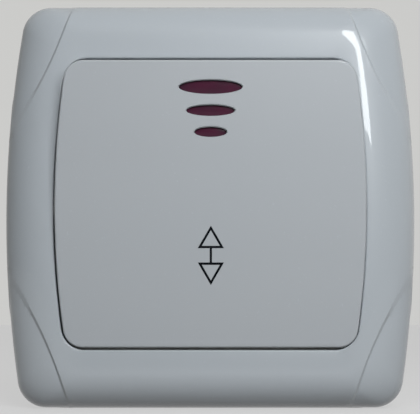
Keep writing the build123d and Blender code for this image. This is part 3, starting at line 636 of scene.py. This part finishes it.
# Indicator lenses
# One smoky red insert under the cap, with an oval boss that stands in each window just below the face.
# The tops are polished and very slightly domed, so a dark wine colour shows with a soft glint.

LENS_RECESS = 0.7
LENS_DOME = 0.12
LENS_DOME_SHARES = (0.97, 0.9, 0.75, 0.55, 0.35, 0.15)
LENS_EDGE = 0.15
LENS_PLATE = 1.0
LENS_MARGIN = 1.4

lens_half_u = max(window[0] for window in WINDOWS) + LENS_MARGIN
lens_low = min(centre - half_v for _, half_v, centre in WINDOWS) - LENS_MARGIN
lens_high = max(centre + half_v for _, half_v, centre in WINDOWS) + LENS_MARGIN
plate_top = KEY_FACE - KEY_CAP
lens = block((-lens_half_u, lens_half_u), (lens_low, lens_high), (plate_top - LENS_PLATE, plate_top))
lens.name = "indicator_lenses"
bosses = []
for half_u, half_v, centre in WINDOWS:
    lens_top = KEY_FACE - LENS_RECESS
    boss_rings = [oval_ring(half_u, half_v, centre, plate_top - LENS_PLATE / 2)]
    boss_rings.append(oval_ring(half_u, half_v, centre, lens_top - LENS_DOME - LENS_EDGE))
    for share in LENS_DOME_SHARES:
        height = lens_top - LENS_DOME * share**2
        boss_rings.append(oval_ring(half_u * share, half_v * share, centre, height))
    bosses.append(skin_over("boss", boss_rings))
grow_on(lens, gather(bosses))
stand_up(lens, ON_KEY)
smooth(lens, 40)
# The lens colour is partly painted reflection. The wine red is the lens's own tint. The grey cloud colour,
# mixed in at random, stands in for the room's grey reflection in the lens tops.
red_tint_and_painted_reflection = plastic(
    "smoky_red_lens",
    {
        "Color": seen(83, 30, 54),
        "Cloud Color": seen(34, 38, 44),
        "Speck Color": seen(92, 36, 60),
        "Cloud Scale": 160.0,
        "Roughness": 0.12,
        "Roughness Spread": 0.06,
    },
    ripple_depth=0.000004,
    IOR=1.5,
    Specular_IOR_Level=0.2,
)
wear(lens, red_tint_and_painted_reflection, "rocker")
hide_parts("indicator_lens")

# Two-way mark
# A pad-printed sign of two hollow arrowheads joined by a short stem, below the middle of the cap.
# It is a thin film of near-black ink that stands a hair above the plastic.

MARK_CENTRE_U = 0.06
MARK_CENTRE_V = -10.34
MARK_HALF_U = 2.6
MARK_TIP = 5.9
MARK_BASE = 1.42
MARK_LINE = 0.46
INK = 0.02


def arrowhead(direction):
    """A hollow triangle: a three-point circle, inset by the line's width, emptied and thickened."""
    bpy.ops.object.select_all(action="DESELECT")
    bpy.ops.mesh.primitive_circle_add(vertices=3, radius=MM, fill_type="NGON")
    made = bpy.context.object
    corners = [
        (MARK_CENTRE_U, MARK_CENTRE_V + direction * MARK_TIP),
        (MARK_CENTRE_U - MARK_HALF_U, MARK_CENTRE_V + direction * MARK_BASE),
        (MARK_CENTRE_U + MARK_HALF_U, MARK_CENTRE_V + direction * MARK_BASE),
    ]
    for vertex, (u, v) in zip(made.data.vertices, corners):
        vertex.co = (u * MM, v * MM, (KEY_FACE - INK) * MM)
    bpy.ops.object.mode_set(mode="EDIT")
    bpy.ops.mesh.inset(thickness=MARK_LINE * MM)
    bpy.ops.mesh.delete(type="FACE")
    bpy.ops.mesh.select_all(action="SELECT")
    bpy.ops.mesh.extrude_region_move(TRANSFORM_OT_translate={"value": (0, 0, 2 * INK * MM)})
    bpy.ops.mesh.select_all(action="SELECT")
    bpy.ops.mesh.normals_make_consistent(inside=False)
    bpy.ops.object.mode_set(mode="OBJECT")
    return made


stem = block(
    (MARK_CENTRE_U - MARK_LINE / 2, MARK_CENTRE_U + MARK_LINE / 2),
    (MARK_CENTRE_V - MARK_BASE - MARK_LINE / 2, MARK_CENTRE_V + MARK_BASE + MARK_LINE / 2),
    (KEY_FACE - INK, KEY_FACE + INK),
    ease=0,
)
mark = arrowhead(1)
mark.name = "two_way_mark"
grow_on(mark, arrowhead(-1))
grow_on(mark, stem)
stand_up(mark, ON_KEY)
ink = plastic(
    "printing_ink",
    {
        "Color": seen(10, 13, 18),
        "Cloud Color": seen(14, 17, 22),
        "Speck Color": seen(40, 43, 48),
        "Speck Scale": 4000.0,
        "Roughness": 0.35,
    },
    ripple_depth=0.000004,
    Specular_IOR_Level=0.1,
)
wear(mark, ink, "rocker")

# Cover frame
# A glossy one-piece moulding: an upright skirt, and a crown that rises like a quarter ellipse to a level top.
# Outside four bowed crease lines the corner leaves lie half a millimetre lower. Catches hold it to the plate.

FRAME_HALF_U = 42.0
FRAME_HALF_V = 41.35
FRAME_SIDE_R = 237.0
FRAME_CORNER_R = 6.0
FRAME_WALL = 2.0
SKIRT_HEIGHT = 2.2
FOOT_EASE = 0.15
CROWN_RISE = 7.0
CROWN_RUN_U = 9.5
CROWN_RUN_V = 7.2
CROWN_CORNER_R = 5.0
CROWN_STEPS = 36
UNDERSIDE_END = math.radians(75)
HALVINGS = 30
FLAT_STEPS = 12
CREASE_TOP_U = 27.8
CREASE_SIDE_V = 12.6
CREASE_SAG = 1.75
CREASE_STEP = 0.5
CREASE_SLOPE = 0.42
LEAF_INSET = 0.08
CREASE_STATIONS = 40
CREASE_OVERRUN = 1.1
CUTTER_TOP = 20.0
LIP_ROUND = 0.35
GUARD_WALL = 1.2
GUARD_BOTTOM = 4.0
UNDERSIDE_DROP = 0.2
KEY_GAP_U = 0.3
KEY_GAP_V = 0.74
OPENING_CORNER_R = 4.8
OPENING_ASIDE_U = -0.1
OPENING_ASIDE_V = -0.15
DISH = 0.008
CATCH_U = 12.0
CATCH_HALF_U = 2.0
CATCH_V = 35.6
CATCH_WALL = 1.6
CATCH_BARB = 1.2
CATCH_LOW = 2.9
CATCH_ROOT = 7.4
FRAME_TOP = SKIRT_HEIGHT + CROWN_RISE
OPENING = (KEY_HALF_U + KEY_GAP_U, KEY_HALF_V + KEY_GAP_V, KEY_SIDE_R + KEY_GAP_U, OPENING_CORNER_R)


def crown_outline(angle, inset=0.0):
    """The four sizes of the crown's outline at an angle up its quarter ellipse."""
    shrink = 1 - math.cos(angle)
    return (
        FRAME_HALF_U - inset - CROWN_RUN_U * shrink,
        FRAME_HALF_V - inset - CROWN_RUN_V * shrink,
        FRAME_SIDE_R + (KEY_SIDE_R - FRAME_SIDE_R) * shrink,
        FRAME_CORNER_R - inset / 2 + (CROWN_CORNER_R - FRAME_CORNER_R) * shrink,
    )


def crown_rings(rise, inset=0.0, last=math.pi / 2):
    """The crown's rings from its skirt up to a last angle."""
    rings = []
    for index in range(CROWN_STEPS + 1):
        angle = last * index / CROWN_STEPS
        rings.append(barrel_ring(*crown_outline(angle, inset), SKIRT_HEIGHT + rise * math.sin(angle)))
    return rings


def grown(outline, by):
    """An outline's four sizes moved outwards."""
    return tuple(size + by for size in outline)


def beyond(outline, u, v):
    """How far a point lies outside an outline; less than nothing inside it."""
    half_u, half_v, side_r, corner_r = outline
    side_centre = half_u - side_r
    corner_v = half_v - corner_r
    corner_u = side_centre + math.sqrt((side_r - corner_r) ** 2 - corner_v**2)
    meet = math.atan2(corner_v, corner_u - side_centre)
    if math.atan2(v, u - side_centre) < meet:
        return math.hypot(u - side_centre, v) - side_r
    if u > corner_u:
        return math.hypot(u - corner_u, v - corner_v) - corner_r
    return v - half_v


def crown_height(u, v):
    """The crown's height over a point, found by halving the angle between the skirt and the top."""
    low, high = 0.0, math.pi / 2
    for _ in range(HALVINGS):
        middle = (low + high) / 2
        if beyond(crown_outline(middle), u, v) > 0:
            high = middle
        else:
            low = middle
    return SKIRT_HEIGHT + CROWN_RISE * math.sin(low)


def leaf_cutter(side_u, side_v):
    """What is cut from one corner: a block outside the crease, whose wall slopes outwards as it goes down."""
    top = Vector((CREASE_TOP_U, FRAME_HALF_V))
    side = Vector((FRAME_HALF_U, CREASE_SIDE_V))
    chord = side - top
    outward = Vector((-chord.y, chord.x)).normalized()
    radius = (chord.length_squared / 4 + CREASE_SAG**2) / (2 * CREASE_SAG)
    centre = (top + side) / 2 + outward * (radius - CREASE_SAG)
    reach = math.asin(chord.length / 2 / radius) * CREASE_OVERRUN
    lean = CREASE_SLOPE / CREASE_STEP
    rings = []
    for index in range(CREASE_STATIONS + 1):
        turn = reach * (2 * index / CREASE_STATIONS - 1)
        away = Vector(
            (
                outward.x * math.cos(turn) - outward.y * math.sin(turn),
                outward.x * math.sin(turn) + outward.y * math.cos(turn),
            )
        )
        crease = centre - away * radius
        height = crown_height(crease.x, crease.y)
        # The cut's wall crosses the crown's surface from one millimetre above it to one below
        wall = [(-lean, height + 1), (lean, height - 1)]
        far = [(FRAME_HALF_U, -FRAME_HALF_U), (FRAME_HALF_U, CUTTER_TOP)]
        ring = []
        for step, level in wall + far:
            point = crease + away * step
            ring.append((side_u * point.x, side_v * point.y, level))
        rings.append(ring)
    return skin_over("leaf_cutter", rings)


def dished(ring):
    """A ring of the level top, sunk with the square of its distance from the top's outer edge."""
    sunk = []
    for u, v, height in ring:
        inside = max(0.0, -beyond(flat_from, abs(u), abs(v)))
        sunk.append((u, v, height - DISH * inside**2))
    return sunk


def aside(ring, share=1.0):
    """A ring moved by a share of how far the opening lies off the frame's middle."""
    return [(u + share * OPENING_ASIDE_U, v + share * OPENING_ASIDE_V, height) for u, v, height in ring]


rings = [barrel_ring(*grown(crown_outline(0.0), -FOOT_EASE), 0.0)]
rings.append(barrel_ring(*crown_outline(0.0), FOOT_EASE))
rings += crown_rings(CROWN_RISE)
flat_from = crown_outline(math.pi / 2)
flat_to = grown(OPENING, LIP_ROUND)
for step in range(1, FLAT_STEPS + 1):
    sizes = [a + (b - a) * step / FLAT_STEPS for a, b in zip(flat_from, flat_to)]
    rings.append(dished(aside(barrel_ring(*sizes, FRAME_TOP), step / FLAT_STEPS)))
for index in range(1, ROUND_STEPS + 1):
    turn = math.pi / 2 * index / ROUND_STEPS
    inwards = LIP_ROUND * (1 - math.sin(turn))
    level = FRAME_TOP - LIP_ROUND * (1 - math.cos(turn))
    rings.append(dished(aside(barrel_ring(*grown(OPENING, inwards), level))))
rings.append(aside(barrel_ring(*OPENING, GUARD_BOTTOM)))
guard = grown(OPENING, GUARD_WALL)
rings.append(aside(barrel_ring(*guard, GUARD_BOTTOM)))
rings.append(aside(barrel_ring(*guard, FRAME_TOP - FRAME_WALL - UNDERSIDE_DROP)))
rings += reversed(crown_rings(CROWN_RISE - FRAME_WALL, FRAME_WALL, UNDERSIDE_END))
rings.append(barrel_ring(*crown_outline(0.0, FRAME_WALL), 0.0))
cover = skin_over("cover_shell", rings, closed=True)

below = [barrel_ring(*crown_outline(0.0, LEAF_INSET), -FRAME_WALL)]
low_crown = skin_over("low_crown", below + crown_rings(CROWN_RISE - CREASE_STEP, LEAF_INSET))
leaves = gather([leaf_cutter(side_u, side_v) for side_u in (-1, 1) for side_v in (-1, 1)])
cut_away(leaves, low_crown)
cut_away(cover, leaves)
catches = []
for side_u in (-1, 1):
    for side_v in (-1, 1):
        across = (side_u * CATCH_U - CATCH_HALF_U, side_u * CATCH_U + CATCH_HALF_U)
        outer = CATCH_V + CATCH_WALL
        post_v = sorted((side_v * CATCH_V, side_v * outer))
        post = block(across, post_v, (CATCH_LOW + STAGGER, CATCH_ROOT))
        barb_v = sorted((side_v * (CATCH_V - CATCH_BARB), side_v * (CATCH_V + CATCH_WALL / 2)))
        grow_on(post, block(across, barb_v, (CATCH_LOW, CATCH_LOW + CATCH_WALL)))
        catches.append(post)
grow_on(cover, gather(catches))
stand_up(cover, upright())
smooth(cover)
cover_gloss = plastic(
    "cover_gloss",
    {
        "Color": seen(167, 173, 178),
        "Cloud Color": seen(164, 170, 174),
        "Speck Color": seen(173, 179, 184),
        "Cloud Scale": 22.0,
        "Speck Scale": 2200.0,
        "Ripple Scale": 120.0,
        "Roughness": 0.22,
        "Roughness Spread": 0.06,
    },
    ripple_depth=0.000002,
    IOR=1.45,
    Coat_Weight=0.8,
    Coat_Roughness=0.03,
)
wear(cover, cover_gloss, "base")
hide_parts("cover_frame")

# Floor, light and camera
# The switch stands on a pale floor in soft daylight from the upper right. The gloss mirrors one tall window.
# The camera looks from below the middle of the key and a little upwards, as in the photograph.

FLOOR_SIZE = 8.0
FLOOR_TONE = 0.5
BACKDROP_TONE = 0.6
LIGHTER_RIGHT = 0.2
NEAR = 0.3
FAR = 1.0
DAYLIGHT = (0.99, 1.0, 1.02)
WINDOW_LIGHT = (0.95, 0.99, 1.0)
CAMERA_PITCH = math.radians(5.358)
CAMERA_PLACE = Vector((-0.00007, -0.25, -0.02366))
CAMERA_SENSOR = 36.0
CAMERA_LENS = 103.44

floor_level = cad_box[0][2]
bpy.ops.object.select_all(action="DESELECT")
bpy.ops.mesh.primitive_plane_add(size=FLOOR_SIZE, location=(0, 0, floor_level))
floor = bpy.context.object
floor.name = "floor"
paper = bpy.data.materials.new("pale_paper")
paper.use_nodes = True
tree = paper.node_tree
path = put(tree, "ShaderNodeLightPath")
camera_or_gloss = put(
    tree,
    "ShaderNodeMath",
    {0: path.outputs["Is Camera Ray"], 1: path.outputs["Is Glossy Ray"]},
    operation="MAXIMUM",
)
shown = put(
    tree,
    "ShaderNodeMath",
    {0: camera_or_gloss.outputs[0], 1: path.outputs["Is Transmission Ray"]},
    operation="MAXIMUM",
)
own_tone = put(tree, "ShaderNodeMath", {0: shown.outputs[0], 1: FLOOR_TONE}, operation="MULTIPLY")
shader = tree.nodes["Principled BSDF"]
on_floor = put(tree, "ShaderNodeTexCoord").outputs["Object"]
fibres = put(tree, "ShaderNodeTexNoise", {"Vector": on_floor, "Scale": 5.0, "Detail": 3.0})
tone = put(
    tree,
    "ShaderNodeMix",
    {0: fibres.outputs["Fac"], 6: (0.15, 0.15, 0.15, 1.0), 7: (0.17, 0.17, 0.17, 1.0)},
    data_type="RGBA",
)
tree.links.new(tone.outputs[2], shader.inputs["Base Color"])
shader.inputs["Roughness"].default_value = 0.9
shader.inputs["Specular IOR Level"].default_value = 0.1
shader.inputs["Emission Color"].default_value = (1.0, 1.0, 1.0, 1.0)
tree.links.new(own_tone.outputs[0], shader.inputs["Emission Strength"])
floor.data.materials.append(paper)
floor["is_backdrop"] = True

world = bpy.data.worlds.new("room")
bpy.context.scene.world = world
world.use_nodes = True
tree = world.node_tree
tree.nodes.clear()
direction = put(tree, "ShaderNodeTexCoord").outputs["Generated"]
parts = put(tree, "ShaderNodeSeparateXYZ", {"Vector": direction})
from_left = put(
    tree,
    "ShaderNodeMapRange",
    {"Value": parts.outputs["X"], "From Min": 0.0, "From Max": -1.0, "To Min": 0.08, "To Max": 0.07},
)
from_behind = put(
    tree,
    "ShaderNodeMapRange",
    {"Value": parts.outputs["Y"], "From Min": 0.2, "From Max": 1.0, "To Min": 0.0, "To Max": 0.9},
)
ambient = put(
    tree,
    "ShaderNodeMath",
    {0: from_left.outputs["Result"], 1: from_behind.outputs["Result"]},
    operation="ADD",
)
room = put(
    tree,
    "ShaderNodeMapRange",
    {"Value": parts.outputs["Y"], "From Min": -0.5, "From Max": 0.2, "To Min": 0.22, "To Max": 0.55},
)
lighter_right = put(
    tree,
    "ShaderNodeMath",
    {0: parts.outputs["X"], 1: LIGHTER_RIGHT, 2: room.outputs["Result"]},
    operation="MULTIPLY_ADD",
)
path = put(tree, "ShaderNodeLightPath")
mirrored = put(
    tree,
    "ShaderNodeMix",
    {0: path.outputs["Is Glossy Ray"], 2: ambient.outputs["Value"], 3: lighter_right.outputs["Value"]},
    data_type="FLOAT",
)
straight = put(
    tree,
    "ShaderNodeMath",
    {0: path.outputs["Is Camera Ray"], 1: path.outputs["Is Transmission Ray"]},
    operation="MAXIMUM",
)
level = put(
    tree,
    "ShaderNodeMix",
    {0: straight.outputs[0], 2: mirrored.outputs[0], 3: BACKDROP_TONE},
    data_type="FLOAT",
)
background = put(
    tree, "ShaderNodeBackground", {"Color": (1.0, 1.0, 0.98, 1.0), "Strength": level.outputs[0]}
)
put(tree, "ShaderNodeOutputWorld", {"Surface": background.outputs["Background"]})


def lamp(name, azimuth, elevation, distance, size, watts, slant=0, color=DAYLIGHT, mirrored=True):
    """A lamp that faces the key from an azimuth to the right and an elevation; slant leans it right."""
    turn = math.radians(azimuth)
    rise = math.radians(elevation)
    toward = Vector((math.sin(turn) * math.cos(rise), -math.cos(turn) * math.cos(rise), math.sin(rise)))
    bpy.ops.object.light_add(type="AREA", location=toward * distance)
    made = bpy.context.object
    made.name = name
    made.data.shape = "RECTANGLE"
    made.data.size, made.data.size_y = size
    made.data.energy = watts
    made.data.color = color
    made.visible_glossy = mirrored
    facing = (-toward).to_track_quat("-Z", "Y")
    made.rotation_euler = (Quaternion(toward, -math.radians(slant)) @ facing).to_euler()
    return made


lamp("soft_daylight", 17, 24, NEAR, (0.18, 0.18), 0.68, mirrored=False)
lamp("soft_overhead", 0, 45, NEAR, (0.18, 0.18), 0.2, mirrored=False)
lamp("tall_window", 11.7, 18.0, FAR, (0.088, 0.315), 1.1, slant=11, color=WINDOW_LIGHT)
lamp("window_beside", 22.0, 19.3, FAR, (0.07, 0.155), 0.085, slant=-18, color=WINDOW_LIGHT)

bpy.ops.object.camera_add(location=CAMERA_PLACE, rotation=(math.pi / 2 + CAMERA_PITCH, 0, 0))
camera = bpy.context.object
camera.data.sensor_width = CAMERA_SENSOR
camera.data.lens = CAMERA_LENS
bpy.context.scene.camera = camera
bpy.context.scene.view_settings.view_transform = "Standard"

sizes = {"cad": cad_box, "visual": [list(corner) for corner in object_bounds()]}
